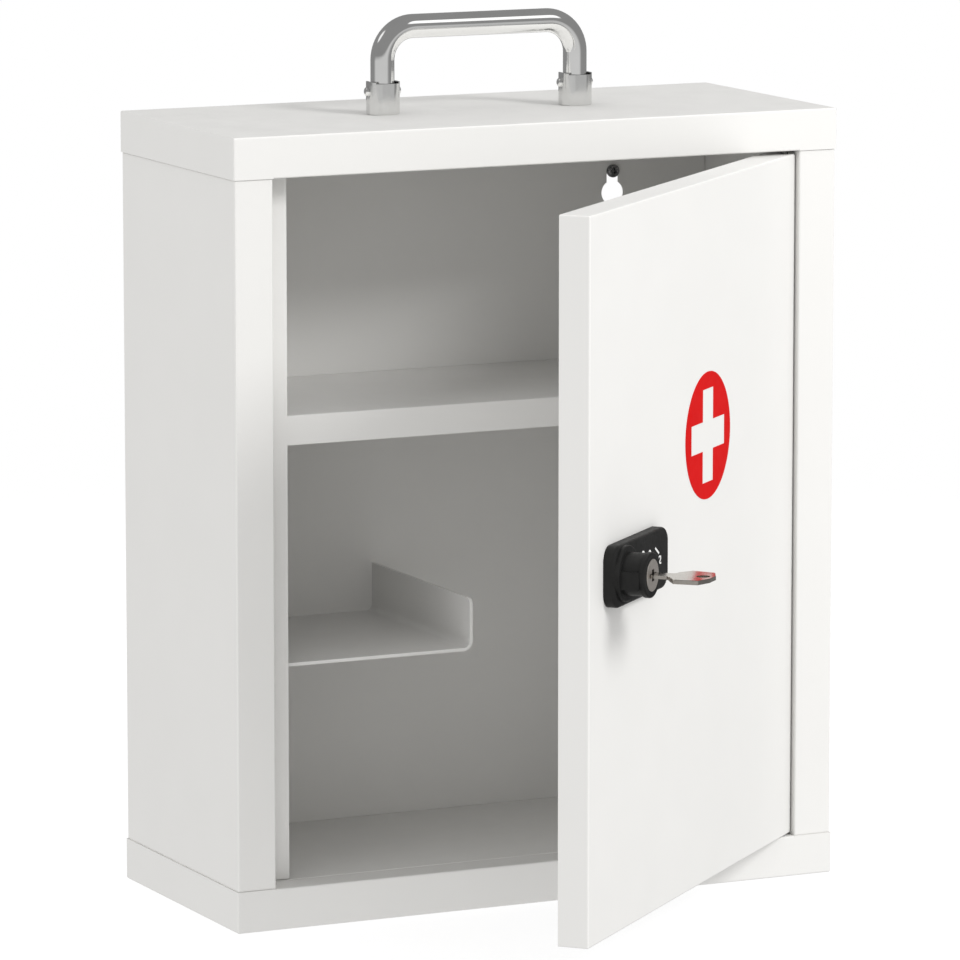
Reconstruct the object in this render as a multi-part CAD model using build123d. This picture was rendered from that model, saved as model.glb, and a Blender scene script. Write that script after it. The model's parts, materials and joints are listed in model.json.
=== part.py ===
from build123d import *
import os

# Lockable medicine cabinet in folded sheet steel, standing on its bottom cap.
# The origin is the bottom centre of the cabinet: X to the right, Y to the back, Z up, in millimetres.
# The door stands open at rest, as far as it is drawn in DOOR_OPEN.

# Case
WIDTH = 304.0
DEPTH = 131.0
HEIGHT = 361.0
SHEET = 0.6
BEND = 0.8                     # outside radius of a fold
CAP_HEIGHT = 19.0
CAP_EDGE = 0.8                 # outside radius of the caps' edges and upright corners
OPENING_WIDTH = 265.6
STOP_DEPTH = 16.0              # front plane to the door stops
STOP_WIDTH = 13.3
STOP_GAP = 0.6                 # door stops end this far from the ledges
BACK_FLANGE = 12.0
LEDGE_LIP = 8.0
FIT = 0.1                      # play between panels that are spot-welded together
GROOVE = (0.4, 0.25)           # height and depth of the line pressed along each cap's edge

# Shelves
SHELF_TOP = 232.3
SHELF_LIP = 13.5
SHELF_HEM = 6.0
PANEL_FLANGE = 9.0
TRAY_SHEET = 1.5
TRAY_UNDERSIDE = 116.5
TRAY_RIGHT = -24.4
TRAY_UPSTAND_TOP = 140.8
TRAY_LEFT_UPSTAND_TOP = 130.0
TRAY_FRONT = -44.0
TRAY_BEND = 4.5

# Keyholes and the two wall screws in them
KEYHOLE_SPACING = 201.6
KEYHOLE_RADIUS = 5.75
KEYHOLE_Z = 310.6
SLOT_WIDTH = 6.05
SLOT_RISE = 10.4
WALL_SCREW_Z = 321.0
WALL_SCREW_RADIUS = 2.0
WALL_SCREW_HEAD = 3.15
WALL_SCREW_LENGTH = 25.0

# Door
DOOR_WIDTH = 262.0
DOOR_LOW = 20.0
DOOR_HIGH = 340.2
DOOR_THICK = 14.3
DOOR_LIP = 10.0
DOOR_FRONT = -64.9
DOOR_OPEN = 42.3               # degrees, as photographed
PIVOT_INSET = 4.0              # hinge axis to the door's edge and to its front face
PIN_RADIUS = 1.5
PIN_REACH = 9.0                # each hinge pin's length past its ledge
BUSH_PLAY = 0.05
BUSH_RADIUS = 2.5
BUSH_HEAD = 3.1
BUSH_LENGTH = 5.2
BUSH_HEAD_THICK = 0.9
WASHER_THICK = 0.6

# Sticker
STICKER_RADIUS = 28.9
STICKER_X = 15.6
STICKER_Z = 225.0
STICKER_THICK = 0.15
CROSS_LENGTH = 42.5
CROSS_ARM = 13.4

# Lock
LOCK_X = -102.3
LOCK_Z = 181.4
PLATE_X = (-114.6, -48.2)
PLATE_Z = (167.0, 194.4)
PLATE_THICK = 5.5
PLATE_CORNER = 7.0
BOSS_RADIUS = 12.4
BOSS_RISE = 1.8
BARREL_RADIUS = 9.5
BARREL_REACH = 18.2
RIM_RADIUS = 10.0
RIM_LENGTH = 2.5
THREAD_RADIUS = 8.0
THREAD_FLAT = 7.0
THREAD_END = 17.2
PLUG_RADIUS = 5.95
PLUG_PLAY = 0.05
DISC_RADIUS = 7.1
DISC_THICK = 1.4
DISC_PROUD = 0.3
DRIVE_SIDE = 7.0
KEYWAY_HALF = (3.9, 0.95)
KEYWAY_END = 6.0
KEYWAY_NOTCH = (1.3, 2.6)      # half sizes of the wider place in the middle of the keyway
WAFERS = 5
WAFER_FIRST = -13.5
WAFER_PITCH = 4.0
WAFER_THICK = 0.9
NUT_ACROSS_FLATS = 24.0
NUT_THICK = 4.0
CAM_LENGTH = 24.7
CAM_WIDTH = 16.0
CAM_THICK = 2.0
CAM_SCREW_RADIUS = 2.0

# Key
KEY_THICK = 2.0
BLADE_THICK = 1.5
BLADE_HALF = 3.6
NECK_HALF = 4.0
BLADE_END = 4.5
NECK_END = -27.0
BOW_END = -46.2
BOW_HALF = 12.5
BIT_DEPTH = 1.1
BOW_STEP = -28.2               # from here inwards the key is milled down to its blade's thickness
RING_HOLE_RADIUS = 3.0
RING_HOLE_OUT = -41.6
KEY_CHAMFER = 0.2

# Carrying handle
BOW_RADIUS = 5.5
HANDLE_HALF = 49.1
HANDLE_Y = 0.1
HANDLE_TOP = 400.8
HANDLE_BEND = 15.0
HANDLE_PIN_Z = 371.6
HANDLE_PIN_RADIUS = 1.5
FOOT_WIDTH = 14.8
FOOT_FRONT = -6.4
FOOT_BACK = 5.7
FOOT_CORNER = 4.6
FOOT_TOP = 376.0
FOOT_RIM = 375.3
FOOT_FLOOR = 365.0
FOOT_SLOT = 11.4
RIVET_HEAD = 2.1
RIVET_RISE = 1.4
HANDLE_SCREW_RADIUS = 2.0
HANDLE_SCREW_HEAD = 3.8
SCREW_HEAD_THICK = 2.6
HANDLE_WASHER_RADIUS = 5.0
HANDLE_WASHER_THICK = 1.0

# Places worked out from the dimensions above
BODY_X = WIDTH / 2 - SHEET
BODY_Y = DEPTH / 2 - SHEET
STILE_EDGE = OPENING_WIDTH / 2
STOP_FRONT = -DEPTH / 2 + STOP_DEPTH
BACK_INSIDE = BODY_Y - 2 * SHEET
PANEL_HALF = BODY_X - SHEET - FIT
PIVOT = (DOOR_WIDTH / 2 - PIVOT_INSET, DOOR_FRONT + PIVOT_INSET)
HINGE_AXIS = Axis((PIVOT[0], PIVOT[1], 0), (0, 0, 1))
LOW = (Align.CENTER, Align.CENTER, Align.MIN)


def block(x, y, z):
    """Box between the two ends given for each axis."""
    size = (x[1] - x[0], y[1] - y[0], z[1] - z[0])
    middle = Pos((x[0] + x[1]) / 2, (y[0] + y[1]) / 2, (z[0] + z[1]) / 2)
    return middle * Box(*size)


def folded(plane, points, start, length, thick=SHEET, bend=BEND):
    """Folded sheet along the middle line given, running the length along the plane's normal."""
    line = FilletPolyline(*points, radius=bend - thick / 2)
    profile = plane.offset(start) * trace(line, line_width=thick)
    return extrude(profile, length)


def upright(radius, x, y, low, high):
    return Pos(x, y, low) * Cylinder(radius, high - low, align=LOW)


def across(radius, x, start, end, z):
    """Round bar along Y."""
    return Pos(x, start, z) * Rot(-90, 0, 0) * Cylinder(radius, end - start, align=LOW)


def sideways(radius, start, end, y, z):
    """Round bar along X."""
    return Pos(start, y, z) * Rot(0, 90, 0) * Cylinder(radius, end - start, align=LOW)


def cross_recess(size, depth):
    """Tapered cross driven into a screw head, sunk from the origin towards -Z."""
    slot = loft([Rectangle(size, size / 4), Pos(0, 0, -depth) * Rectangle(size / 3, size / 6)])
    return slot + Rot(0, 0, 90) * slot


# ---- Case -------------------------------------------------------------------------------------

def cap():
    """Shallow pan with a ledge and lip folded in along the front, between the stiles."""
    outer = block((-WIDTH / 2, WIDTH / 2), (-DEPTH / 2, DEPTH / 2), (0, CAP_HEIGHT))
    outer = fillet(outer.edges().group_by(Axis.Z)[0] + outer.edges().filter_by(Axis.Z), CAP_EDGE)
    pan = outer - block((-BODY_X, BODY_X), (-BODY_Y, BODY_Y), (SHEET, CAP_HEIGHT + 1))
    ledge_half = STILE_EDGE - FIT
    fold_start = CAP_HEIGHT - 4
    pan -= block((-ledge_half, ledge_half), (-DEPTH, -BODY_Y + FIT), (fold_start, CAP_HEIGHT + 1))
    middle = SHEET / 2
    line = [
        (-DEPTH / 2 + middle, fold_start),
        (-DEPTH / 2 + middle, CAP_HEIGHT - middle),
        (STOP_FRONT - middle, CAP_HEIGHT - middle),
        (STOP_FRONT - middle, CAP_HEIGHT - LEDGE_LIP),
    ]
    pan += folded(Plane.YZ, line, -ledge_half, 2 * ledge_half)
    return pan - upright(PIN_RADIUS, *PIVOT, CAP_HEIGHT - 2, CAP_HEIGHT + 1)


def top_cap():
    turned = Pos(0, 0, HEIGHT) * mirror(cap(), about=Plane.XY)
    for x in (-HANDLE_HALF, HANDLE_HALF):
        turned -= upright(HANDLE_SCREW_RADIUS + 0.2, x, HANDLE_Y, HEIGHT - 2, HEIGHT + 1)
    return turned


def groove(low):
    """Ring cut shallowly into the walls' outer faces from the given height."""
    height, depth = GROOVE
    x, y = BODY_X - depth, BODY_Y - depth
    core = block((-x, x), (-y, y), (low - 1, low + height + 1))
    core = fillet(core.edges().filter_by(Axis.Z), BEND - depth)
    return block((-WIDTH / 2, WIDTH / 2), (-DEPTH / 2, DEPTH / 2), (low, low + height)) - core


def left_side():
    """Side wall with the back flange, the front stile, its return and the door stop in one sheet."""
    middle = SHEET / 2
    wall = -BODY_X + middle
    front = -BODY_Y + middle
    stop = STOP_FRONT + middle
    line = [
        (-BODY_X + BACK_FLANGE, BODY_Y - middle),
        (wall, BODY_Y - middle),
        (wall, front),
        (-STILE_EDGE - middle, front),
        (-STILE_EDGE - middle, stop),
        (-STILE_EDGE + STOP_WIDTH, stop),
    ]
    side = folded(Plane.XY, line, SHEET, HEIGHT - 2 * SHEET)
    flange_x = (-STILE_EDGE, -STILE_EDGE + STOP_WIDTH + 1)
    flange_y = (STOP_FRONT - BEND, STOP_FRONT + BEND)
    low_end = CAP_HEIGHT + STOP_GAP
    side -= block(flange_x, flange_y, (0, low_end))
    side -= block(flange_x, flange_y, (HEIGHT - low_end, HEIGHT))
    for low in (CAP_HEIGHT, HEIGHT - CAP_HEIGHT - GROOVE[0]):
        side -= groove(low)
    return side


def back_panel():
    panel = block((-PANEL_HALF + 0.7, PANEL_HALF - 0.7), (BACK_INSIDE, BACK_INSIDE + SHEET),
                  (SHEET, HEIGHT - SHEET))
    for side in (-1, 1):
        x = side * KEYHOLE_SPACING / 2
        y = (BACK_INSIDE - 1, BACK_INSIDE + 2)
        panel -= across(KEYHOLE_RADIUS, x, *y, KEYHOLE_Z)
        panel -= across(SLOT_WIDTH / 2, x, *y, KEYHOLE_Z + SLOT_RISE)
        panel -= block((x - SLOT_WIDTH / 2, x + SLOT_WIDTH / 2), y, (KEYHOLE_Z, KEYHOLE_Z + SLOT_RISE))
    return panel


def flanged_panel(front, top, flange):
    """Level panel between the side walls, folded down on all four sides."""
    x = (-PANEL_HALF, PANEL_HALF)
    outer = block(x, (front, BACK_INSIDE), (top - flange, top))
    outer = fillet(outer.edges().group_by(Axis.Z)[-1], CAP_EDGE)
    inside = block((x[0] + SHEET, x[1] - SHEET), (front + SHEET, BACK_INSIDE - SHEET),
                   (top - flange - 1, top - SHEET))
    return outer - inside


def floor_plate():
    """Floor laid behind the bottom cap's ledge and notched round the stile returns."""
    floor = flanged_panel(STOP_FRONT + FIT, CAP_HEIGHT, PANEL_FLANGE)
    for side in (-1, 1):
        edges = sorted((side * (STILE_EDGE - 4 * FIT), side * WIDTH))
        floor -= block(edges, (-DEPTH, STOP_FRONT + BEND), (0, CAP_HEIGHT + 1))
    return floor


def shelf():
    """Full shelf with a deeper front lip that is hemmed back underneath."""
    front = STOP_FRONT + SHEET + FIT
    panel = flanged_panel(front, SHELF_TOP, SHELF_LIP)
    panel -= block((-WIDTH, WIDTH), (front + 2, DEPTH), (0, SHELF_TOP - PANEL_FLANGE))
    low = SHELF_TOP - SHELF_LIP
    return panel + block((-PANEL_HALF, PANEL_HALF), (front, front + SHELF_HEM), (low, low + SHEET))


def tray():
    """Half-width tray in thicker sheet, turned up at both ends, with a flange on the back panel."""
    middle = TRAY_SHEET / 2
    left = -PANEL_HALF + middle
    right = TRAY_RIGHT - middle
    level = TRAY_UNDERSIDE + middle
    line = [(left, TRAY_LEFT_UPSTAND_TOP), (left, level), (right, level), (right, TRAY_UPSTAND_TOP)]
    length = BACK_INSIDE - TRAY_FRONT
    sheet = folded(Plane.XZ, line, -BACK_INSIDE, length, TRAY_SHEET, TRAY_BEND)
    upstand_front = sheet.edges().filter_by(Axis.X).group_by(Axis.Z)[-1].sort_by(Axis.Y)[0]
    sheet = fillet(upstand_front, 3)
    flange_x = (left + TRAY_BEND + 2, right - TRAY_BEND - 2)
    flange_y = (BACK_INSIDE - TRAY_SHEET, BACK_INSIDE)
    return sheet + block(flange_x, flange_y, (TRAY_UNDERSIDE - PANEL_FLANGE, level))


def wall_screw():
    """Countersunk-free pan head inside the case, shank through the slot into the wall."""
    head = across(WALL_SCREW_HEAD, 0, BACK_INSIDE - FIT - 2.2, BACK_INSIDE - FIT, 0)
    head = fillet(head.edges().group_by(Axis.Y)[0], 1.3)
    recess = Pos(0, BACK_INSIDE - FIT - 2.2, 0) * Rot(90, 0, 0) * cross_recess(3.4, 1.4)
    end = BACK_INSIDE + WALL_SCREW_LENGTH
    point = Pos(0, end, 0) * Rot(-90, 0, 0) * Cone(WALL_SCREW_RADIUS, 0.3, 5, align=LOW)
    return head - recess + across(WALL_SCREW_RADIUS, 0, BACK_INSIDE - FIT, end, 0) + point


# ---- Door, drawn closed and then swung open about its hinge axis ------------------------------

def door_panel():
    """Pan with four folded sides and mitred lips turned in at the back."""
    half = DOOR_WIDTH / 2
    back = DOOR_FRONT + DOOR_THICK
    outer = block((-half, half), (DOOR_FRONT, back), (DOOR_LOW, DOOR_HIGH))
    outer = fillet(outer.edges().filter_by(Axis.Y), SHEET)
    outer = fillet(outer.faces().sort_by(Axis.Y)[0].edges(), BEND)
    inside = block((-half + SHEET, half - SHEET), (DOOR_FRONT + SHEET, back - SHEET),
                   (DOOR_LOW + SHEET, DOOR_HIGH - SHEET))
    mouth = block((-half + DOOR_LIP, half - DOOR_LIP), (back - 2 * SHEET, back + 1),
                  (DOOR_LOW + DOOR_LIP, DOOR_HIGH - DOOR_LIP))
    pan = outer - inside - mouth
    slit_length = 2 * DOOR_LIP
    for x, turn in ((-half, 1), (half, -1)):
        for z, lift in ((DOOR_LOW, 1), (DOOR_HIGH, -1)):
            corner = Pos(x + turn * DOOR_LIP, back, z + lift * DOOR_LIP)
            pan -= corner * Rot(0, -45 * turn * lift, 0) * Box(slit_length, 1.4 * SHEET, 0.4)
    lock_hole = across(THREAD_RADIUS, LOCK_X, DOOR_FRONT - 1, DOOR_FRONT + 2, LOCK_Z)
    lock_hole &= block((LOCK_X - 20, LOCK_X + 20), (DOOR_FRONT - 2, DOOR_FRONT + 3),
                       (LOCK_Z - THREAD_FLAT, LOCK_Z + THREAD_FLAT))
    return pan - lock_hole - upright(BUSH_RADIUS, *PIVOT, 0, HEIGHT)


def hinge_bush_lower():
    """Bush pressed into the door's lower fold from inside, flush underneath."""
    inside = DOOR_LOW + SHEET
    bush = upright(BUSH_RADIUS, *PIVOT, DOOR_LOW, DOOR_LOW + BUSH_LENGTH)
    bush += upright(BUSH_HEAD, *PIVOT, inside, inside + BUSH_HEAD_THICK)
    return bush - upright(PIN_RADIUS + BUSH_PLAY, *PIVOT, 0, HEIGHT)


def hinge_bush_upper():
    inside = DOOR_HIGH - SHEET
    bush = upright(BUSH_RADIUS, *PIVOT, DOOR_HIGH - BUSH_LENGTH, DOOR_HIGH)
    bush += upright(BUSH_HEAD, *PIVOT, inside - BUSH_HEAD_THICK, inside)
    return bush - upright(PIN_RADIUS + BUSH_PLAY, *PIVOT, 0, HEIGHT)


def hinge_pin_lower():
    under = CAP_HEIGHT - SHEET
    pin = upright(PIN_RADIUS, *PIVOT, under, CAP_HEIGHT + PIN_REACH)
    pin = chamfer(pin.edges().group_by(Axis.Z)[-1], 0.4)
    return pin + upright(2 * PIN_RADIUS, *PIVOT, under - 1.5, under)


def cross_sticker():
    """Round sign with the upright cross cut out of it."""
    middle = Pos(STICKER_X, DOOR_FRONT, STICKER_Z)
    disc = across(STICKER_RADIUS, STICKER_X, DOOR_FRONT - STICKER_THICK, DOOR_FRONT, STICKER_Z)
    cross = Box(CROSS_LENGTH, 2, CROSS_ARM) + Box(CROSS_ARM, 2, CROSS_LENGTH)
    return disc - middle * cross


# ---- Lock, depths counted from the door's front face ------------------------------------------

def lock_bar(radius, start, end):
    return across(radius, LOCK_X, DOOR_FRONT + start, DOOR_FRONT + end, LOCK_Z)


def lock_block(half_x, half_z, start, end):
    return block((LOCK_X - half_x, LOCK_X + half_x), (DOOR_FRONT + start, DOOR_FRONT + end),
                 (LOCK_Z - half_z, LOCK_Z + half_z))


def lock_escutcheon():
    """Moulded plate with a round boss where the barrel comes through."""
    plate = block(PLATE_X, (DOOR_FRONT - PLATE_THICK, DOOR_FRONT), PLATE_Z)
    plate = fillet(plate.edges().filter_by(Axis.Y), PLATE_CORNER)
    plate = fillet(plate.faces().sort_by(Axis.Y)[0].edges(), 1.6)
    boss = lock_bar(BOSS_RADIUS, -PLATE_THICK - BOSS_RISE, -1)
    boss = fillet(boss.edges().group_by(Axis.Y)[0], 0.8)
    return plate + boss - lock_bar(BARREL_RADIUS, -20, 1)


def lock_housing():
    """Barrel with a rim, a side rib and a threaded shank with two flats."""
    rim = lock_bar(RIM_RADIUS, -BARREL_REACH, -BARREL_REACH + RIM_LENGTH)
    rim = fillet(rim.edges().group_by(Axis.Y)[0], 0.7)
    barrel = lock_bar(BARREL_RADIUS, -BARREL_REACH + 1, 0) + rim
    rib_x = (LOCK_X - BARREL_RADIUS - 0.8, LOCK_X - BARREL_RADIUS + 3)
    rib_y = (DOOR_FRONT - BARREL_REACH + RIM_LENGTH, DOOR_FRONT - PLATE_THICK - BOSS_RISE)
    barrel += block(rib_x, rib_y, (LOCK_Z - 5.5, LOCK_Z + 2.5))
    shank = lock_bar(THREAD_RADIUS, 0, THREAD_END) & lock_block(20, THREAD_FLAT, -1, 30)
    body = barrel + shank - lock_bar(PLUG_RADIUS + PLUG_PLAY, -30, 30)
    return body - lock_bar(DISC_RADIUS + PLUG_PLAY, -30, -BARREL_REACH - DISC_PROUD + DISC_THICK)


def wafer_places():
    return [WAFER_FIRST + WAFER_PITCH * i for i in range(WAFERS)]


def lock_plug():
    """Plug with a face disc, keyway, wafer slots and a square drive for the cam."""
    face = -BARREL_REACH - DISC_PROUD
    plug = lock_bar(DISC_RADIUS, face, face + DISC_THICK)
    plug = fillet(plug.edges().group_by(Axis.Y)[0], 0.3)
    plug += lock_bar(PLUG_RADIUS, face + 1, THREAD_END + FIT)
    plug += lock_block(DRIVE_SIDE / 2, DRIVE_SIDE / 2, THREAD_END, THREAD_END + 2 * FIT + CAM_THICK)
    plug -= lock_block(*KEYWAY_HALF, -30, KEYWAY_END)
    plug -= lock_block(*KEYWAY_NOTCH, -30, face + DISC_THICK)
    for place in wafer_places():
        slot = (WAFER_THICK + FIT) / 2
        plug -= lock_block(20, 2.65, place - slot, place + slot)
    return plug - lock_bar(CAM_SCREW_RADIUS, KEYWAY_END + 4, 30)


def lock_wafers():
    """Thin plates across the plug, each with a window for the key's blade."""
    plates = []
    for place in wafer_places():
        ends = (place - WAFER_THICK / 2, place + WAFER_THICK / 2)
        window = lock_block(KEYWAY_HALF[0], KEYWAY_HALF[1] + 0.1, *ends)
        plates.append(lock_block(5.2, 2.6, *ends) - window)
    return Compound(plates)


def lock_washer():
    return lock_bar(11.0, SHEET, 2 * SHEET) - lock_bar(THREAD_RADIUS, 0, 3)


def lock_nut():
    start = 2 * SHEET
    outline = RegularPolygon(NUT_ACROSS_FLATS / 2, 6, major_radius=False)
    nut = Pos(LOCK_X, DOOR_FRONT + start, LOCK_Z) * Rot(-90, 0, 0) * extrude(outline, NUT_THICK)
    nut &= lock_bar(NUT_ACROSS_FLATS / 2 + 1.2, start, start + NUT_THICK)
    return nut - lock_bar(THREAD_RADIUS, 0, 10)


def lock_cam():
    """Flat tongue on the plug's square, pointing up while the lock is open."""
    start = THREAD_END + 2 * FIT
    arm = block((LOCK_X - CAM_WIDTH / 2, LOCK_X + CAM_WIDTH / 2),
                (DOOR_FRONT + start, DOOR_FRONT + start + CAM_THICK), (LOCK_Z, LOCK_Z + CAM_LENGTH))
    tip = arm.edges().filter_by(Axis.Y).group_by(Axis.Z)[-1]
    arm = fillet(tip, 3)
    arm += lock_bar(CAM_WIDTH / 2, start, start + CAM_THICK)
    hole = DRIVE_SIDE / 2 + FIT / 2
    return arm - lock_block(hole, hole, 0, 30)


def cam_washer():
    start = THREAD_END + 2 * FIT + CAM_THICK
    return lock_bar(5.5, start, start + SHEET) - lock_bar(CAM_SCREW_RADIUS + FIT, 0, 40)


def cam_screw():
    start = THREAD_END + 2 * FIT + CAM_THICK + SHEET
    end = start + SCREW_HEAD_THICK
    head = lock_bar(4.0, start, end)
    head = fillet(head.edges().group_by(Axis.Y)[-1], 1.2)
    head -= Pos(LOCK_X, DOOR_FRONT + end, LOCK_Z) * Rot(-90, 0, 0) * cross_recess(4.2, 1.6)
    return head + lock_bar(CAM_SCREW_RADIUS, start - 8, start)


def key():
    """Key stamped from flat sheet, its neck and blade milled thinner and notched at each wafer."""
    right = [(BOW_HALF - 9, BOW_END), (BOW_HALF - 1.5, BOW_END + 3), (BOW_HALF, NECK_END - 5.2),
             (NECK_HALF + 0.6, NECK_END), (NECK_HALF, NECK_END + 0.8), (NECK_HALF, -BARREL_REACH - 0.9),
             (BLADE_HALF, -BARREL_REACH - 0.5)]
    for place in wafer_places():
        right += [(BLADE_HALF, place - 1.3), (BLADE_HALF - BIT_DEPTH, place - 0.4),
                  (BLADE_HALF - BIT_DEPTH, place + 0.4), (BLADE_HALF, place + 1.3)]
    right.append((1.2, BLADE_END))
    left = [(-x, y) for x, y in reversed(right)]
    outline = make_face(Polyline(*right, *left, close=True))
    blank = Pos(LOCK_X, DOOR_FRONT, LOCK_Z - KEY_THICK / 2) * extrude(outline, KEY_THICK)
    corners = blank.edges().filter_by(Axis.Z).filter_by(
        lambda edge: edge.center().Y < DOOR_FRONT + NECK_END - 1)
    blank = fillet(corners, 1.2)
    rims = [edge for face in (blank.faces().sort_by(Axis.Z)[0], blank.faces().sort_by(Axis.Z)[-1])
            for edge in face.edges()]
    blank = chamfer(rims, KEY_CHAMFER)
    blank -= upright(RING_HOLE_RADIUS, LOCK_X, DOOR_FRONT + RING_HOLE_OUT, LOCK_Z - 5, LOCK_Z + 5)
    milled_x = (LOCK_X - BOW_HALF, LOCK_X + BOW_HALF)
    milled_y = (DOOR_FRONT + BOW_STEP, DOOR_FRONT + BLADE_END + 1)
    for side in (-1, 1):
        milled_z = sorted((LOCK_Z + side * BLADE_THICK / 2, LOCK_Z + side * KEY_THICK))
        blank -= block(milled_x, milled_y, milled_z)
    return blank


# ---- Carrying handle --------------------------------------------------------------------------

def handle_bow():
    """Solid round bow whose legs end in half balls about the fold pins."""
    ends = [(x, HANDLE_Y, HANDLE_PIN_Z) for x in (-HANDLE_HALF, HANDLE_HALF)]
    tops = [(x, HANDLE_Y, HANDLE_TOP) for x in (-HANDLE_HALF, HANDLE_HALF)]
    path = FilletPolyline(ends[0], tops[0], tops[1], ends[1], radius=HANDLE_BEND)
    bow = sweep(Plane(origin=path @ 0, z_dir=path % 0) * Circle(BOW_RADIUS), path=path)
    for x in (-HANDLE_HALF, HANDLE_HALF):
        ball = Sphere(BOW_RADIUS, arc_size1=-90, arc_size2=0, align=(Align.CENTER, Align.CENTER, Align.MAX))
        bow += Pos(x, HANDLE_Y, HANDLE_PIN_Z) * ball
    for x in (-HANDLE_HALF, HANDLE_HALF):
        bow -= sideways(HANDLE_PIN_RADIUS + PLUG_PLAY, x - 10, x + 10, HANDLE_Y, HANDLE_PIN_Z)
    return bow


def handle_foot(x):
    """Cast foot with two ears, closed in front and open at the back so that the bow folds back."""
    foot = block((x - FOOT_WIDTH / 2, x + FOOT_WIDTH / 2), (FOOT_FRONT, FOOT_BACK), (HEIGHT, FOOT_TOP))
    foot = fillet(foot.edges().filter_by(Axis.Z), FOOT_CORNER)
    foot = chamfer(foot.edges().group_by(Axis.Z)[0], 0.35)
    slot_x = (x - FOOT_SLOT / 2, x + FOOT_SLOT / 2)
    pocket = RegularPolygon(FOOT_SLOT / 2, 8, major_radius=False, rotation=22.5)
    foot -= Pos(x, HANDLE_Y, FOOT_FLOOR) * extrude(pocket, FOOT_TOP - FOOT_FLOOR + 1)
    foot -= block(slot_x, (HANDLE_Y, FOOT_BACK + 1), (FOOT_FLOOR, FOOT_TOP + 1))
    foot -= block(slot_x, (FOOT_FRONT - 1, HANDLE_Y), (FOOT_RIM, FOOT_TOP + 1))
    foot -= sideways(HANDLE_PIN_RADIUS, x - 10, x + 10, HANDLE_Y, HANDLE_PIN_Z)
    return foot - upright(HANDLE_SCREW_RADIUS, x, HANDLE_Y, HEIGHT - 1, FOOT_FLOOR + 1)


def handle_pin(x):
    """Rivet through the two ears, domed at both ends."""
    half = FOOT_WIDTH / 2
    pin = sideways(HANDLE_PIN_RADIUS, x - half, x + half, HANDLE_Y, HANDLE_PIN_Z)
    for start, outer in ((x - half - RIVET_RISE, 0), (x + half, -1)):
        head = sideways(RIVET_HEAD, start, start + RIVET_RISE, HANDLE_Y, HANDLE_PIN_Z)
        pin += fillet(head.edges().group_by(Axis.X)[outer], 1.1)
    return pin


def handle_screw(x):
    """Pan-head screw up through the top cap into the foot."""
    head_top = HEIGHT - SHEET - HANDLE_WASHER_THICK
    head = upright(HANDLE_SCREW_HEAD, x, HANDLE_Y, head_top - SCREW_HEAD_THICK, head_top)
    head = fillet(head.edges().group_by(Axis.Z)[0], 1.2)
    head -= Pos(x, HANDLE_Y, head_top - SCREW_HEAD_THICK) * Rot(180, 0, 0) * cross_recess(4.2, 1.6)
    return head + upright(HANDLE_SCREW_RADIUS, x, HANDLE_Y, head_top, FOOT_FLOOR - 0.2)


def handle_washer(x):
    low = HEIGHT - SHEET - HANDLE_WASHER_THICK
    washer = upright(HANDLE_WASHER_RADIUS, x, HANDLE_Y, low, HEIGHT - SHEET)
    return washer - upright(HANDLE_SCREW_RADIUS + FIT, x, HANDLE_Y, low - 1, HEIGHT)


# ---- Nodes ------------------------------------------------------------------------------------

def pair(make, half_distance):
    return Compound([make(-half_distance), make(half_distance)])


def turned_over(shape):
    return Pos(0, 0, HEIGHT) * mirror(shape, about=Plane.XY)


LEFT_SIDE = left_side()
LOWER_PIN = hinge_pin_lower()
KEYHOLE_X = KEYHOLE_SPACING / 2

CASE = {
    "bottom_cap": cap(),
    "top_cap": top_cap(),
    "left_side": LEFT_SIDE,
    "right_side": mirror(LEFT_SIDE, about=Plane.YZ),
    "back_panel": back_panel(),
    "floor_plate": floor_plate(),
    "shelf": shelf(),
    "tray": tray(),
    "hinge_pin_lower": LOWER_PIN,
    "hinge_pin_upper": turned_over(LOWER_PIN),
    "hinge_washer": upright(3.3, *PIVOT, CAP_HEIGHT, CAP_HEIGHT + WASHER_THICK)
    - upright(PIN_RADIUS + FIT, *PIVOT, 0, HEIGHT),
    "wall_screws": Compound([Pos(x, 0, WALL_SCREW_Z) * wall_screw() for x in (-KEYHOLE_X, KEYHOLE_X)]),
    "handle_bow": handle_bow(),
    "handle_foot_left": handle_foot(-HANDLE_HALF),
    "handle_foot_right": handle_foot(HANDLE_HALF),
    "handle_pin_left": handle_pin(-HANDLE_HALF),
    "handle_pin_right": handle_pin(HANDLE_HALF),
    "handle_screws": pair(handle_screw, HANDLE_HALF),
    "handle_washers": pair(handle_washer, HANDLE_HALF),
}

DOOR = {
    "door_panel": door_panel(),
    "hinge_bush_lower": hinge_bush_lower(),
    "hinge_bush_upper": hinge_bush_upper(),
    "cross_sticker": cross_sticker(),
    "lock_escutcheon": lock_escutcheon(),
    "lock_housing": lock_housing(),
    "lock_washer": lock_washer(),
    "lock_nut": lock_nut(),
    "lock_plug": lock_plug(),
    "lock_wafers": lock_wafers(),
    "lock_cam": lock_cam(),
    "cam_washer": cam_washer(),
    "cam_screw": cam_screw(),
    "key": key(),
}

os.makedirs("parts", exist_ok=True)
for name, shape in CASE.items():
    export_step(shape, f"parts/{name}.step")
for name, shape in DOOR.items():
    export_step(shape.rotate(HINGE_AXIS, DOOR_OPEN), f"parts/{name}.step")
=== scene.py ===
import bmesh
import bpy
import json
import math
from mathutils import Matrix, Vector


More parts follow.
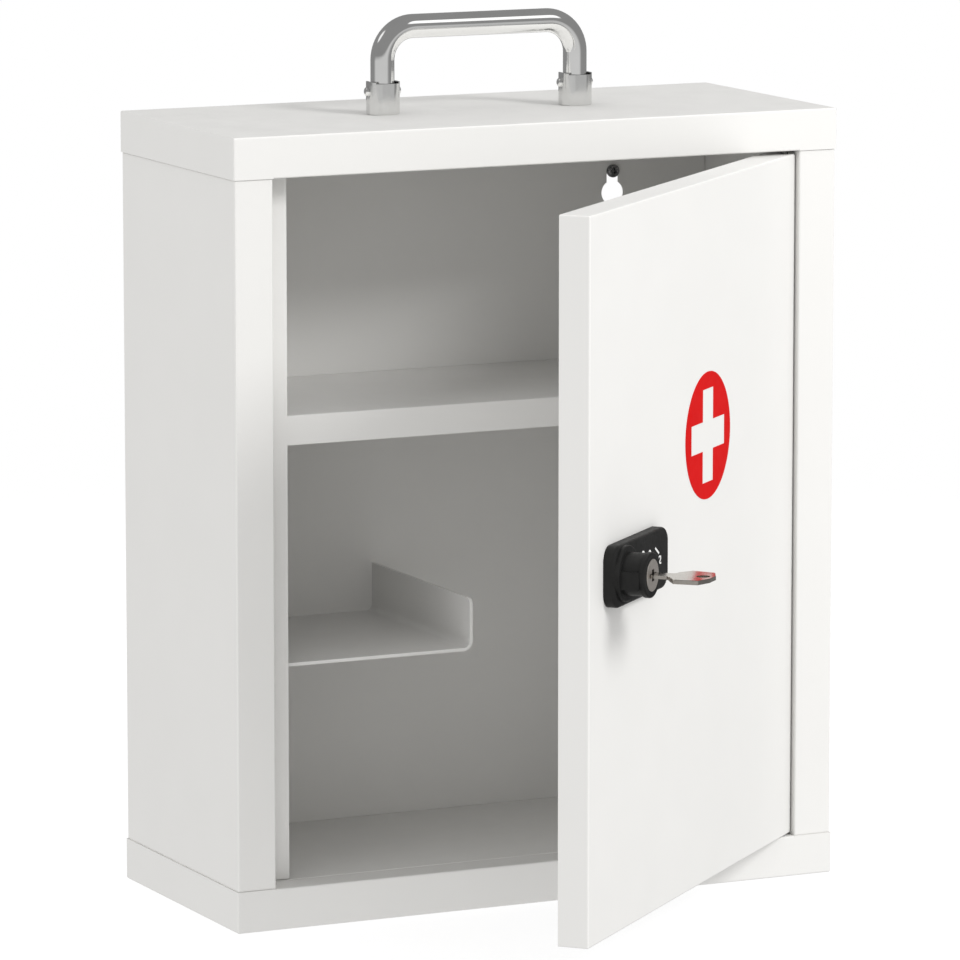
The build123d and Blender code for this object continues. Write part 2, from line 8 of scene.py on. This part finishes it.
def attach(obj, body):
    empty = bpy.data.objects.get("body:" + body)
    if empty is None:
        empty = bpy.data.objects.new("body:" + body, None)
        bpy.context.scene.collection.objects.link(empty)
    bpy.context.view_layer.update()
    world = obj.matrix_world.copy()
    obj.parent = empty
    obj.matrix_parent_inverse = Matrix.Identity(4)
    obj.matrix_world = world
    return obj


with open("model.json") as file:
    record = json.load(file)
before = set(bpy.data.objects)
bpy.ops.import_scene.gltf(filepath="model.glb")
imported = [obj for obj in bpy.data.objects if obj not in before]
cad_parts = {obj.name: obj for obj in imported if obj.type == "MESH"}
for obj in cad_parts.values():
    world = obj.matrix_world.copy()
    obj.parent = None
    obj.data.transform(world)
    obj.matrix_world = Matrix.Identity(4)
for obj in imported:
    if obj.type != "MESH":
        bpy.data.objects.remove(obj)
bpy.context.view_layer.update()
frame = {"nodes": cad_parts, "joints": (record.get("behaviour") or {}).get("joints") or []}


# ---- Case -------------------------------------------------------------------------------------
# The caps, walls and floor are folded from 0.6 mm sheet steel and spot-welded, with a flat back.
# The shelf and a half tray in 1.5 mm sheet are welded in. Then one white powder coat covers every
# face, fold and edge.

MM = 0.001
ENAMEL_LIGHT = (0.765, 0.758, 0.739)
ENAMEL_SHADE = (0.756, 0.749, 0.730)
ENAMEL_GLOSS = 0.35
ENAMEL_ROUGHNESS = (0.33, 0.41)
ENAMEL_CLOUD = 45 * MM
ENAMEL_GLOSS_CLOUD = ENAMEL_CLOUD / 3
ORANGE_PEEL_LUMP = 1.3 * MM
ORANGE_PEEL_DEPTH = 0.004 * MM
PATTERN_ENDS = (0.3, 0.7)      # where a random pattern counts as fully one tone, and the other
MEDIUM = 2                     # how finely a random pattern is broken up


def new_material(name, metallic=0.0, gloss=0.5):
    material = bpy.data.materials.new(name)
    material.use_nodes = True
    surface = material.node_tree.nodes["Principled BSDF"]
    surface.inputs["Metallic"].default_value = metallic
    surface.inputs["Specular IOR Level"].default_value = gloss
    return material


def cloud(material, lump, detail=MEDIUM, turn=0.0):
    """Random pattern fixed to the piece; the lump's size is one length, or three along turned axes."""
    tree = material.node_tree
    place = tree.nodes.new("ShaderNodeTexCoord")
    grid = tree.nodes.new("ShaderNodeMapping")
    grid.vector_type = "TEXTURE"
    grid.inputs["Rotation"].default_value = (0, 0, turn)
    grid.inputs["Scale"].default_value = lump if isinstance(lump, tuple) else (lump, lump, lump)
    noise = tree.nodes.new("ShaderNodeTexNoise")
    noise.inputs["Scale"].default_value = 1
    noise.inputs["Detail"].default_value = detail
    tree.links.new(place.outputs["Object"], grid.inputs["Vector"])
    tree.links.new(grid.outputs["Vector"], noise.inputs["Vector"])
    return noise.outputs["Fac"]


def tint(material, pattern, shade, light):
    """Base colour that drifts between two close tones with the pattern."""
    tree = material.node_tree
    ramp = tree.nodes.new("ShaderNodeValToRGB")
    first, last = ramp.color_ramp.elements
    first.position, last.position = PATTERN_ENDS
    first.color, last.color = (*shade, 1), (*light, 1)
    tree.links.new(pattern, ramp.inputs["Fac"])
    tree.links.new(ramp.outputs["Color"], tree.nodes["Principled BSDF"].inputs["Base Color"])


def polish(material, pattern, smooth, rough):
    """Roughness that drifts between two values with the pattern."""
    tree = material.node_tree
    reach = tree.nodes.new("ShaderNodeMapRange")
    reach.inputs["From Min"].default_value = PATTERN_ENDS[0]
    reach.inputs["From Max"].default_value = PATTERN_ENDS[1]
    reach.inputs["To Min"].default_value = smooth
    reach.inputs["To Max"].default_value = rough
    tree.links.new(pattern, reach.inputs["Value"])
    tree.links.new(reach.outputs["Result"], tree.nodes["Principled BSDF"].inputs["Roughness"])


def relief(material, pattern, depth):
    """Fine surface relief of the given depth."""
    tree = material.node_tree
    bump = tree.nodes.new("ShaderNodeBump")
    bump.inputs["Strength"].default_value = 1
    bump.inputs["Distance"].default_value = depth
    tree.links.new(pattern, bump.inputs["Height"])
    tree.links.new(bump.outputs["Normal"], tree.nodes["Principled BSDF"].inputs["Normal"])


def cover(material, *nodes):
    """Gives the CAD nodes named this finish."""
    for node in nodes:
        for place in frame["nodes"][node].material_slots:
            place.material = material


def powder_coat():
    material = new_material("white_powder_coat", gloss=ENAMEL_GLOSS)
    tint(material, cloud(material, ENAMEL_CLOUD), ENAMEL_SHADE, ENAMEL_LIGHT)
    polish(material, cloud(material, ENAMEL_GLOSS_CLOUD), *ENAMEL_ROUGHNESS)
    relief(material, cloud(material, ORANGE_PEEL_LUMP), ORANGE_PEEL_DEPTH)
    return material


enamel = powder_coat()
cover(enamel, "bottom_cap", "top_cap", "left_side", "right_side", "back_panel", "floor_plate")
cover(enamel, "shelf", "tray")


# ---- Hinge ------------------------------------------------------------------------------------
# Two oiled steel pins are riveted into the ledges, and a zinc-plated washer carries the door.
# The bushes are turned from natural nylon and pressed into the door's folds.

FINE = 3
FINEST = 4
ZINC_SHADE = (0.74, 0.75, 0.77)
ZINC_LIGHT = (0.88, 0.89, 0.90)
ZINC_ROUGHNESS = (0.26, 0.42)
ZINC_LUMPS = (2.5 * MM, 1.2 * MM, 0.25 * MM)          # colour, gloss and relief
ZINC_DEPTH = 0.004 * MM
OILED_SHADE = (0.12, 0.12, 0.12)
OILED_LIGHT = (0.20, 0.20, 0.19)
OILED_ROUGHNESS = (0.38, 0.5)
OILED_LUMPS = (2 * MM, 1 * MM, 0.25 * MM)
OILED_DEPTH = 0.003 * MM
NYLON_SHADE = (0.70, 0.69, 0.64)
NYLON_LIGHT = (0.78, 0.77, 0.73)
NYLON_ROUGHNESS = (0.45, 0.6)
NYLON_LUMPS = (3 * MM, 1 * MM, 0.3 * MM)
NYLON_DEPTH = 0.005 * MM


def zinc_plate():
    material = new_material("zinc_plate", metallic=1.0)
    colour_lump, gloss_lump, relief_lump = ZINC_LUMPS
    tint(material, cloud(material, colour_lump, FINEST), ZINC_SHADE, ZINC_LIGHT)
    polish(material, cloud(material, gloss_lump), *ZINC_ROUGHNESS)
    relief(material, cloud(material, relief_lump, FINE), ZINC_DEPTH)
    return material


def oiled_steel():
    material = new_material("oiled_steel", metallic=1.0)
    colour_lump, gloss_lump, relief_lump = OILED_LUMPS
    tint(material, cloud(material, colour_lump, FINE), OILED_SHADE, OILED_LIGHT)
    polish(material, cloud(material, gloss_lump), *OILED_ROUGHNESS)
    relief(material, cloud(material, relief_lump), OILED_DEPTH)
    return material


def natural_nylon():
    material = new_material("natural_nylon")
    colour_lump, gloss_lump, relief_lump = NYLON_LUMPS
    tint(material, cloud(material, colour_lump), NYLON_SHADE, NYLON_LIGHT)
    polish(material, cloud(material, gloss_lump), *NYLON_ROUGHNESS)
    relief(material, cloud(material, relief_lump), NYLON_DEPTH)
    return material


zinc = zinc_plate()
cover(zinc, "hinge_washer")
cover(oiled_steel(), "hinge_pin_lower", "hinge_pin_upper")
cover(natural_nylon(), "hinge_bush_lower", "hinge_bush_upper")


# ---- Wall screws ------------------------------------------------------------------------------
# Two cross-recess pan-head screws in oiled, black phosphated steel. They go through the slots of
# the keyholes into the wall, and the back panel hangs on them.

PHOSPHATE_SHADE = (0.14, 0.14, 0.145)
PHOSPHATE_LIGHT = (0.34, 0.34, 0.35)
PHOSPHATE_ROUGHNESS = (0.22, 0.36)
PHOSPHATE_LUMPS = (1.5 * MM, 0.8 * MM, 0.2 * MM)
PHOSPHATE_DEPTH = 0.004 * MM


def black_phosphate():
    material = new_material("black_phosphate", metallic=1.0)
    colour_lump, gloss_lump, relief_lump = PHOSPHATE_LUMPS
    tint(material, cloud(material, colour_lump, FINEST), PHOSPHATE_SHADE, PHOSPHATE_LIGHT)
    polish(material, cloud(material, gloss_lump), *PHOSPHATE_ROUGHNESS)
    relief(material, cloud(material, relief_lump, FINE), PHOSPHATE_DEPTH)
    return material


cover(black_phosphate(), "wall_screws")


# ---- Door and sign ----------------------------------------------------------------------------
# A pan of the same coated sheet with its lips turned in at the back, hung on the hinge pins.
# The sign is a round of red vinyl with the cross cut out, so the cross is the door's own white.

BROAD = 1
VINYL_SHADE = (0.560, 0.0030, 0.0030)
VINYL_LIGHT = (0.585, 0.0040, 0.0040)
VINYL_GLOSS = 0.03
VINYL_ROUGHNESS = (0.34, 0.42)
VINYL_LUMPS = (14 * MM, 4 * MM, 0.9 * MM)
VINYL_DEPTH = 0.004 * MM


def red_vinyl():
    material = new_material("red_vinyl", gloss=VINYL_GLOSS)
    colour_lump, gloss_lump, relief_lump = VINYL_LUMPS
    tint(material, cloud(material, colour_lump, BROAD), VINYL_SHADE, VINYL_LIGHT)
    polish(material, cloud(material, gloss_lump), *VINYL_ROUGHNESS)
    relief(material, cloud(material, relief_lump), VINYL_DEPTH)
    return material


cover(enamel, "door_panel")
cover(red_vinyl(), "cross_sticker")


# ---- Lock plate and barrel --------------------------------------------------------------------
# Both are moulded in black plastic with a fine grain. The barrel goes through the plate and the
# door, and a nut holds it from inside. The plate carries four plain numerals on an arc.

BLACK_SHADE = (0.014, 0.014, 0.0135)
BLACK_LIGHT = (0.020, 0.020, 0.0195)
BLACK_GLOSS = 0.15
BLACK_ROUGHNESS = (0.42, 0.54)
BLACK_LUMPS = (8 * MM, 2 * MM, 0.28 * MM)
BLACK_DEPTH = 0.012 * MM
PLATE_FACE = 5.5 * MM
# Each numeral: millimetres right of and above the lock's centre, degrees turned, millimetres high.
NUMERALS = (("9", 22.0, 4.3, 0, 3.7), ("0", 30.1, 3.4, 0, 3.7), ("1", 39.5, 3.6, 50, 4.6),
            ("2", 42.8, -1.0, -5, 3.6))
NUMERAL_STRETCH = 1.3
NUMERAL_BOLD = 0.13 * MM
NUMERAL_RISE = 0.06 * MM
NUMERAL_SHARE = 0.7            # a numeral's height as a share of its letter size
MARKING_SHADE = (0.70, 0.70, 0.68)
MARKING_LIGHT = (0.80, 0.80, 0.78)
MARKING_ROUGHNESS = (0.45, 0.6)
MARKING_LUMPS = (0.8 * MM, 0.5 * MM)                  # colour and gloss

lock_joint = next(joint for joint in frame["joints"] if joint["name"] == "lock_turn")
lock_centre = Vector(lock_joint["pos_m"])
outward = Vector(lock_joint["axis"])
upward = Vector((0, 0, 1))
rightward = upward.cross(outward)


def back_end(node):
    """How far outward from the lock's centre a CAD node's back end lies."""
    return min((vertex.co - lock_centre).dot(outward) for vertex in frame["nodes"][node].data.vertices)


def lock_frame(across=0.0, above=0.0, out=0.0):
    """Place on the lock: local X across the door, Y up and Z outward."""
    axes = Matrix((rightward, upward, outward)).transposed().to_4x4()
    return Matrix.Translation(lock_centre) @ axes @ Matrix.Translation((across, above, out))


def black_moulding():
    material = new_material("black_moulding", gloss=BLACK_GLOSS)
    colour_lump, gloss_lump, relief_lump = BLACK_LUMPS
    tint(material, cloud(material, colour_lump), BLACK_SHADE, BLACK_LIGHT)
    polish(material, cloud(material, gloss_lump), *BLACK_ROUGHNESS)
    relief(material, cloud(material, relief_lump, FINE), BLACK_DEPTH)
    return material


def numeral(digit, across, above, turn, height):
    """One raised numeral on the plate, that far right of and above the lock's centre."""
    letter = bpy.data.curves.new(f"plate_numeral_{digit}", "FONT")
    letter.body = digit
    letter.size = height * MM / NUMERAL_SHARE
    letter.extrude = NUMERAL_RISE
    letter.offset = NUMERAL_BOLD
    letter.align_x, letter.align_y = "CENTER", "CENTER"
    outline = bpy.data.objects.new(letter.name, letter)
    mesh = bpy.data.meshes.new_from_object(outline)
    bpy.data.objects.remove(outline)
    mesh.transform(lock_frame(across * MM, above * MM, PLATE_FACE)
                   @ Matrix.Diagonal((NUMERAL_STRETCH, 1, 1, 1))
                   @ Matrix.Rotation(math.radians(turn), 4, "Z"))
    piece = bpy.data.objects.new(letter.name, mesh)
    bpy.context.scene.collection.objects.link(piece)
    return piece


def marking_paint():
    material = new_material("marking_paint")
    colour_lump, gloss_lump = MARKING_LUMPS
    tint(material, cloud(material, colour_lump), MARKING_SHADE, MARKING_LIGHT)
    polish(material, cloud(material, gloss_lump), *MARKING_ROUGHNESS)
    return material


THREAD_PITCH = 1.5 * MM
# Corners of the thread's ridge: radius, and place along the shank in pitches.
THREAD_SECTION = ((7.9 * MM, 0.45), (8.3 * MM, 0.08), (8.3 * MM, -0.08), (7.9 * MM, -0.45))
THREAD_HALF_FLAT = 6.9 * MM
THREAD_STEPS = 40
THREAD_GAP = 1 * MM            # from the nut to the thread, and from the thread to the shank's end


def shank_thread(start, end):
    """Ridge that winds along the barrel's shank and dies away into its two flats."""
    ridge = bmesh.new()
    steps = int((start - end) / THREAD_PITCH * THREAD_STEPS)
    previous = None
    for step in range(steps + 1):
        angle = 2 * math.pi * step / THREAD_STEPS
        out = start - THREAD_PITCH * step / THREAD_STEPS
        section = []
        for radius, along in THREAD_SECTION:
            across = radius * math.cos(angle)
            above = max(-THREAD_HALF_FLAT, min(THREAD_HALF_FLAT, radius * math.sin(angle)))
            section.append(ridge.verts.new((across, above, out + along * THREAD_PITCH)))
        if previous is None:
            ridge.faces.new(section)
        else:
            for first in range(len(section)):
                second = (first + 1) % len(section)
                ridge.faces.new((previous[first], previous[second], section[second], section[first]))
        previous = section
    ridge.faces.new(reversed(previous))
    bmesh.ops.recalc_face_normals(ridge, faces=ridge.faces)
    mesh = bpy.data.meshes.new("lock_thread")
    ridge.to_mesh(mesh)
    ridge.free()
    mesh.transform(lock_frame())
    piece = bpy.data.objects.new("lock_thread", mesh)
    bpy.context.scene.collection.objects.link(piece)
    return piece


moulding = black_moulding()
cover(moulding, "lock_escutcheon", "lock_housing")
paint = marking_paint()
for entry in NUMERALS:
    mark = numeral(*entry)
    mark.data.materials.append(paint)
    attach(mark, "door")
thread = shank_thread(back_end("lock_nut") - THREAD_GAP, back_end("lock_housing") + THREAD_GAP)
thread.data.materials.append(moulding)
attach(thread, "door")


# ---- Lock core --------------------------------------------------------------------------------
# The plug is turned from nickel-plated brass, with five stamped wafers in its slots.
# A washer and a nut hold the barrel behind the door, and the cam sits on the plug's square.

NICKEL_SHADE = (0.84, 0.78, 0.72)
NICKEL_LIGHT = (0.96, 0.90, 0.84)
NICKEL_ROUGHNESS = (0.30, 0.46)
NICKEL_LUMP = 2 * MM
TURNING_PITCH = 0.16 * MM
TURNING_DEPTH = 0.006 * MM
PLUG_FACE = 18.5 * MM
# Painted shade in the keyway: it starts and becomes full this far under the plug's face, down to this
# brightness.
KEYWAY_SHADE_STARTS = 0.2 * MM        # how far under the plug's face
KEYWAY_SHADE_FULL = 0.9 * MM
KEYWAY_SHADE_BRIGHTNESS = 0.08
BRASS_SHADE = (0.60, 0.42, 0.18)
BRASS_LIGHT = (0.72, 0.53, 0.25)
BRASS_ROUGHNESS = (0.25, 0.4)
BRASS_LUMPS = (1.5 * MM, 0.6 * MM, 0.15 * MM)
BRASS_DEPTH = 0.004 * MM


def turned_nickel():
    """Nickel with the turning tool's fine rings round the plug's axis, and painted shade that darkens it
    below its face.
    """
    material = new_material("turned_nickel", metallic=1.0)
    tree = material.node_tree
    place = tree.nodes.new("ShaderNodeTexCoord")
    offset = tree.nodes.new("ShaderNodeVectorMath")
    offset.operation = "SUBTRACT"
    offset.inputs[1].default_value = lock_centre
    across_axis = tree.nodes.new("ShaderNodeVectorMath")
    across_axis.operation = "CROSS_PRODUCT"
    across_axis.inputs[1].default_value = outward / TURNING_PITCH
    distance = tree.nodes.new("ShaderNodeVectorMath")
    distance.operation = "LENGTH"
    rings = tree.nodes.new("ShaderNodeTexNoise")
    rings.noise_dimensions = "1D"
    rings.inputs["Scale"].default_value = 1
    tree.links.new(place.outputs["Object"], offset.inputs[0])
    tree.links.new(offset.outputs["Vector"], across_axis.inputs[0])
    tree.links.new(across_axis.outputs["Vector"], distance.inputs[0])
    tree.links.new(distance.outputs["Value"], rings.inputs["W"])
    tint(material, cloud(material, NICKEL_LUMP, FINE), NICKEL_SHADE, NICKEL_LIGHT)
    colour = tree.nodes["Principled BSDF"].inputs["Base Color"]
    # Painted shade: the colour darkens below the plug's face, so the inside of the keyway looks dark.
    depth = tree.nodes.new("ShaderNodeVectorMath")
    depth.operation = "DOT_PRODUCT"
    depth.inputs[1].default_value = outward
    shade = tree.nodes.new("ShaderNodeMapRange")
    shade.inputs["From Min"].default_value = PLUG_FACE - KEYWAY_SHADE_FULL
    shade.inputs["From Max"].default_value = PLUG_FACE - KEYWAY_SHADE_STARTS
    shade.inputs["To Min"].default_value = KEYWAY_SHADE_BRIGHTNESS
    shade.inputs["To Max"].default_value = 1
    shaded_colour = tree.nodes.new("ShaderNodeVectorMath")
    shaded_colour.operation = "SCALE"
    tree.links.new(offset.outputs["Vector"], depth.inputs[0])
    tree.links.new(depth.outputs["Value"], shade.inputs["Value"])
    tree.links.new(colour.links[0].from_socket, shaded_colour.inputs["Vector"])
    tree.links.new(shade.outputs["Result"], shaded_colour.inputs["Scale"])
    tree.links.new(shaded_colour.outputs["Vector"], colour)
    polish(material, rings.outputs["Fac"], *NICKEL_ROUGHNESS)
    relief(material, rings.outputs["Fac"], TURNING_DEPTH)
    return material


def stamped_brass():
    material = new_material("stamped_brass", metallic=1.0)
    colour_lump, gloss_lump, relief_lump = BRASS_LUMPS
    tint(material, cloud(material, colour_lump, FINE), BRASS_SHADE, BRASS_LIGHT)
    polish(material, cloud(material, gloss_lump), *BRASS_ROUGHNESS)
    relief(material, cloud(material, relief_lump, FINE), BRASS_DEPTH)
    return material


cover(turned_nickel(), "lock_plug")
cover(stamped_brass(), "lock_wafers")
cover(zinc, "lock_washer", "lock_nut", "lock_cam", "cam_washer", "cam_screw")


# ---- Key --------------------------------------------------------------------------------------
# Stamped from flat steel and nickel-plated: an angular bow with a ring hole, a neck and a blade.
# Neck and blade are milled thinner than the bow, and the blade is notched at each wafer.

KEY_SHADE = (0.43, 0.40, 0.36)
KEY_LIGHT = (0.52, 0.49, 0.45)
KEY_ROUGHNESS = (0.10, 0.17)
KEY_LUMP = 3 * MM
KEY_BRUSH = (0.3 * MM, 6 * MM, 0.3 * MM)              # lumps drawn out along the key
KEY_SCRATCH = (0.2 * MM, 6 * MM, 0.2 * MM)
KEY_DEPTH = 0.0005 * MM

door_turn = math.atan2(rightward.y, rightward.x)


def key_nickel():
    material = new_material("key_nickel", metallic=1.0)
    tint(material, cloud(material, KEY_LUMP, FINE), KEY_SHADE, KEY_LIGHT)
    polish(material, cloud(material, KEY_BRUSH, FINE, door_turn), *KEY_ROUGHNESS)
    relief(material, cloud(material, KEY_SCRATCH, BROAD, door_turn), KEY_DEPTH)
    return material


cover(key_nickel(), "key")


# ---- Carrying handle --------------------------------------------------------------------------
# A solid bow of chrome-plated round bar turns on rivets in two cast feet, which are screwed down
# through the top cap from inside.

CHROME_SHADE = (0.90, 0.90, 0.89)
CHROME_LIGHT = (0.94, 0.94, 0.93)
CHROME_ROUGHNESS = (0.04, 0.09)
CHROME_LUMPS = (12 * MM, 5 * MM, 4 * MM)
SATIN_SHADE = (0.77, 0.77, 0.76)
SATIN_LIGHT = (0.81, 0.81, 0.80)
SATIN_ROUGHNESS = (0.10, 0.16)
SATIN_LUMPS = (6 * MM, 4 * MM, 5 * MM)
PLATING_DEPTH = 0.002 * MM


def bright_chrome():
    material = new_material("bright_chrome", metallic=1.0)
    colour_lump, gloss_lump, relief_lump = CHROME_LUMPS
    tint(material, cloud(material, colour_lump), CHROME_SHADE, CHROME_LIGHT)
    polish(material, cloud(material, gloss_lump, FINEST), *CHROME_ROUGHNESS)
    relief(material, cloud(material, relief_lump), PLATING_DEPTH)
    return material


def satin_chrome():
    material = new_material("satin_chrome", metallic=1.0)
    colour_lump, gloss_lump, relief_lump = SATIN_LUMPS
    tint(material, cloud(material, colour_lump, BROAD), SATIN_SHADE, SATIN_LIGHT)
    polish(material, cloud(material, gloss_lump, BROAD), *SATIN_ROUGHNESS)
    relief(material, cloud(material, relief_lump, BROAD), PLATING_DEPTH)
    return material


cover(bright_chrome(), "handle_bow", "handle_pin_left", "handle_pin_right")
cover(satin_chrome(), "handle_foot_left", "handle_foot_right")
cover(zinc, "handle_screws", "handle_washers")


# ---- Studio -----------------------------------------------------------------------------------
# A round pale floor that fades out, one soft light high on the right and plain light all round.
# Matt faces see a softly graded room, and polished ones a greyer one with two bright patches.

FLOOR_SOLID = 0.6
FLOOR_END = 1.2
FLOOR_SEGMENTS = 96
FLOOR_GREY = 0.2
FLOOR_ROUGHNESS = 0.9
FLOOR_GLOW = 0.86
FLOOR_DROP = 0.5 * MM
SOFTBOX_TARGET = Vector((0, 0, 0.2))
SOFTBOX_AZIMUTH = 31
SOFTBOX_ELEVATION = 34
SOFTBOX_DISTANCE = 2.2
SOFTBOX_SIZE = 0.62
SOFTBOX_POWER = 23
SKY_SOFT = 0.73
GROUND_SOFT = 1.16
HORIZON = 0.1                  # from this far below level to this far above it, ground fades to sky
SOFT_SLANT = (-0.13, 0, 0.36)  # adds light from the left and from above on matt faces
# The mirrored room's lighter part and its bright patches: azimuth and elevation. A fade is a pair,
# where it begins and where it ends.
FRONT_LEFT = (-36, 0)
FRONT_LEFT_FADE = (0.09, 0.7)
FRONT_LEFT_TOP = (-0.06, 0.10)
FRONT_LEFT_FOOT = (-0.48, -0.26)
SOFTBOX_PATCH = (33, 36)
SOFTBOX_PATCH_FADE = (0.966, 0.988)
RIM_PATCH = (-116, 40)
RIM_PATCH_FADE = (0.96, 0.99)
MIRROR_DARK = 0.25
MIRROR_LIGHT = 0.58
MIRROR_SOFTBOX = 1.2
MIRROR_RIM = 0.9


def direction(azimuth, elevation):
    """Unit vector; azimuth 0 is straight in front, and positive turns to the right."""
    side, height = math.radians(azimuth), math.radians(elevation)
    return Vector((math.sin(side) * math.cos(height), -math.cos(side) * math.cos(height),
                   math.sin(height)))


def aim(thing, spot, target):
    """Puts a lamp or the camera on its spot, looking at the target."""
    thing.location = spot
    thing.rotation_euler = (target - spot).to_track_quat("-Z", "Y").to_euler()
    bpy.context.scene.collection.objects.link(thing)


def floor():
    mesh = bpy.data.meshes.new("studio_floor")
    ring = bmesh.new()
    bmesh.ops.create_circle(ring, cap_ends=True, segments=FLOOR_SEGMENTS, radius=FLOOR_END)
    ring.to_mesh(mesh)
    ring.free()
    material = new_material("floor_paper")
    tree = material.node_tree
    surface = tree.nodes["Principled BSDF"]
    surface.inputs["Base Color"].default_value = (FLOOR_GREY, FLOOR_GREY, FLOOR_GREY, 1)
    surface.inputs["Roughness"].default_value = FLOOR_ROUGHNESS
    surface.inputs["Emission Color"].default_value = (1, 1, 1, 1)
    surface.inputs["Emission Strength"].default_value = FLOOR_GLOW
    place = tree.nodes.new("ShaderNodeTexCoord")
    distance = tree.nodes.new("ShaderNodeVectorMath")
    distance.operation = "LENGTH"
    fade = tree.nodes.new("ShaderNodeMapRange")
    fade.interpolation_type = "SMOOTHSTEP"
    fade.inputs["From Min"].default_value = FLOOR_SOLID
    fade.inputs["From Max"].default_value = FLOOR_END
    fade.inputs["To Min"].default_value = 1
    fade.inputs["To Max"].default_value = 0
    tree.links.new(place.outputs["Object"], distance.inputs[0])
    tree.links.new(distance.outputs["Value"], fade.inputs["Value"])
    tree.links.new(fade.outputs["Result"], surface.inputs["Alpha"])
    mesh.materials.append(material)
    piece = bpy.data.objects.new("studio_floor", mesh)
    piece.location = (0, 0, -FLOOR_DROP)
    piece.visible_glossy = False
    piece.visible_diffuse = False
    bpy.context.scene.collection.objects.link(piece)


def room_light():
    """White to look at, softly graded for matt faces and greyer in mirror reflections."""
    world = bpy.data.worlds.new("studio")
    bpy.context.scene.world = world
    world.use_nodes = True
    tree = world.node_tree
    background = tree.nodes["Background"]
    place = tree.nodes.new("ShaderNodeTexCoord")
    split = tree.nodes.new("ShaderNodeSeparateXYZ")
    tree.links.new(place.outputs["Generated"], split.inputs["Vector"])

    def graded(value, start, end, low, high):
        reach = tree.nodes.new("ShaderNodeMapRange")
        reach.interpolation_type = "SMOOTHSTEP"
        reach.inputs["From Min"].default_value = start
        reach.inputs["From Max"].default_value = end
        reach.inputs["To Min"].default_value = low
        reach.inputs["To Max"].default_value = high
        tree.links.new(value, reach.inputs["Value"])
        return reach.outputs["Result"]

    def towards(heading):
        """The heading's length where a ray runs along it, falling off to minus that behind."""
        along = tree.nodes.new("ShaderNodeVectorMath")
        along.operation = "DOT_PRODUCT"
        along.inputs[1].default_value = heading
        tree.links.new(place.outputs["Generated"], along.inputs[0])
        return along.outputs["Value"]

    def combined(operation, first, second):
        result = tree.nodes.new("ShaderNodeMath")
        result.operation = operation
        tree.links.new(first, result.inputs[0])
        tree.links.new(second, result.inputs[1])
        return result.outputs["Value"]

    height = split.outputs["Z"]
    soft = combined("ADD", graded(height, -HORIZON, HORIZON, GROUND_SOFT, SKY_SOFT), towards(SOFT_SLANT))
    front_left = combined("MULTIPLY", graded(towards(direction(*FRONT_LEFT)), *FRONT_LEFT_FADE, 0, 1),
                          graded(height, *FRONT_LEFT_TOP, 1, 0))
    front_left = combined("MULTIPLY", front_left, graded(height, *FRONT_LEFT_FOOT, 0, 1))
    mirror = graded(front_left, 0, 1, MIRROR_DARK, MIRROR_LIGHT)
    softbox_patch = graded(towards(direction(*SOFTBOX_PATCH)), *SOFTBOX_PATCH_FADE, 0, MIRROR_SOFTBOX)
    mirror = combined("MAXIMUM", mirror, softbox_patch)
    rim_patch = graded(towards(direction(*RIM_PATCH)), *RIM_PATCH_FADE, 0, MIRROR_RIM)
    mirror = combined("MAXIMUM", mirror, rim_patch)

    path = tree.nodes.new("ShaderNodeLightPath")

    def choose(flag, first, second):
        mix = tree.nodes.new("ShaderNodeMix")
        tree.links.new(path.outputs[flag], mix.inputs["Factor"])
        tree.links.new(first, mix.inputs["A"])
        if isinstance(second, float):
            mix.inputs["B"].default_value = second
        else:
            tree.links.new(second, mix.inputs["B"])
        return mix.outputs["Result"]

    level = choose("Is Camera Ray", choose("Is Glossy Ray", soft, mirror), 1.0)
    background.inputs["Color"].default_value = (1, 1, 1, 1)
    tree.links.new(level, background.inputs["Strength"])


def soft_light():
    lamp = bpy.data.lights.new("key_softbox", "AREA")
    lamp.shape = "DISK"
    lamp.size = SOFTBOX_SIZE
    lamp.energy = SOFTBOX_POWER
    spot = SOFTBOX_TARGET + direction(SOFTBOX_AZIMUTH, SOFTBOX_ELEVATION) * SOFTBOX_DISTANCE
    softbox = bpy.data.objects.new("key_softbox", lamp)
    softbox.visible_glossy = False
    aim(softbox, spot, SOFTBOX_TARGET)


floor()
room_light()
soft_light()
bpy.context.scene.view_settings.view_transform = "Standard"


# ---- Camera -----------------------------------------------------------------------------------
# A long lens a little above the cabinet, from the front and to its left. It has no shift, and
# it tilts down to the cabinet's middle.

CAMERA_AZIMUTH = -25.566
CAMERA_ELEVATION = 9.106
CAMERA_DISTANCE = 3.1312
CAMERA_TARGET = Vector((0.00078, 0.00089, 0.18759))
CAMERA_SENSOR = 36
CAMERA_LENS = 252.27

camera = bpy.data.objects.new("photo_camera", bpy.data.cameras.new("photo_camera"))
camera.data.sensor_width = CAMERA_SENSOR
camera.data.lens = CAMERA_LENS
camera_spot = CAMERA_TARGET + direction(CAMERA_AZIMUTH, CAMERA_ELEVATION) * CAMERA_DISTANCE
aim(camera, camera_spot, CAMERA_TARGET)
bpy.context.scene.camera = camera
